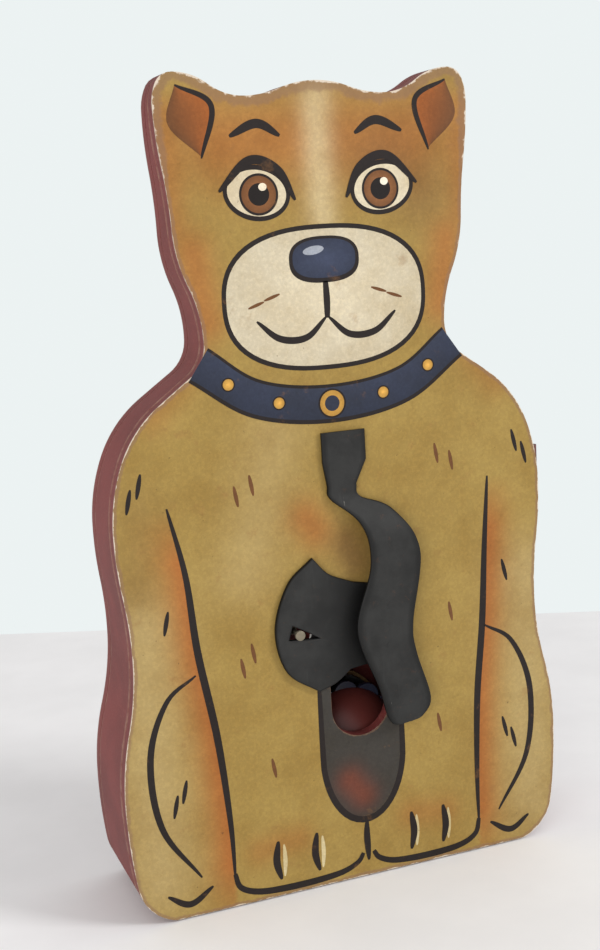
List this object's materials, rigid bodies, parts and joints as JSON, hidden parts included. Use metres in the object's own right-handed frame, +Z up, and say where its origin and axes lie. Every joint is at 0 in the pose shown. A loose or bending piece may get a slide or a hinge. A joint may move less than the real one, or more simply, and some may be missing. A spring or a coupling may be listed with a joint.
{
  "type": "jack in the box",
  "caption": "Flat sitting-dog surprise box: a wedge case whose printed front board swings open on a side hinge when its steel trigger is let off, and a sprung jack follows it out.",
  "frame": {"origin": "middle of the case's footprint, on the table plane", "axes": "+Z up the dog, -Y out of the printed front, +X to the viewer's right"},
  "size_m": [0.1052, 0.0358, 0.1802],
  "materials": {
    "maroon_pasteboard": "worn matt paint",
    "bare_board": "bare pasteboard",
    "printed_paper": "aged litho print",
    "softwood": "bare sawn wood",
    "dull_steel": "oxidised sheet steel",
    "tin": "tinned sheet",
    "spring_wire": "drawn wire",
    "brass": "tarnished",
    "painted_wood": "thin paint",
    "cap_paint": "maroon paint",
    "ruff_card": "blue painted card"
  },
  "bodies": {
    "case": {"back_board": "maroon_pasteboard", "side_wall_left": "maroon_pasteboard", "side_wall_right": "maroon_pasteboard", "base_board": "softwood", "glue_blocks": "softwood", "hinge_blocks": "softwood", "hinge_leaves_case": "tin", "hinge_tacks_case": "dull_steel", "hinge_pins": "spring_wire", "spring_block": "softwood", "spring_seat": "tin", "seat_tacks": "dull_steel", "stud_block": "softwood", "keeper_stud": "brass", "back_brads": "dull_steel", "jack_spring": "spring_wire"},
    "door": {"front_board": "maroon_pasteboard", "front_print": "printed_paper", "hinge_leaves_door": "tin", "hinge_tacks_door": "dull_steel", "trigger_rivet": "dull_steel", "trigger_washer": "tin"},
    "trigger": {"thumb_lever": "dull_steel", "catch_plate": "dull_steel", "latch_rivets": "dull_steel"},
    "jack": {"jack_head": "painted_wood", "jack_cap": "cap_paint", "jack_ruff": "ruff_card", "jack_nose": "cap_paint", "jack_cup": "tin", "cup_tack": "dull_steel"}
  },
  "joints": [
    {"name": "door_hinge", "type": "hinge", "parent": "case", "child": "door", "pos_m": [0.0515, -0.0111, 0.0575], "axis": [0, 0, 1], "range_deg": [0, 110]},
    {"name": "trigger_swing", "type": "hinge", "parent": "door", "child": "trigger", "pos_m": [0.0018, -0.01565, 0.1006], "axis": [0, 1, 0], "range_deg": [-0.9, 3.1]},
    {"name": "jack_slide", "type": "slide", "parent": "case", "child": "jack", "axis": [0, -1, 0], "range_m": [0, 0.0615], "deforming": ["jack_spring"]}
  ],
  "couplings": [
    {"joint": "jack_slide", "follows": "door_hinge", "m_per_rad": 0.032}
  ]
}
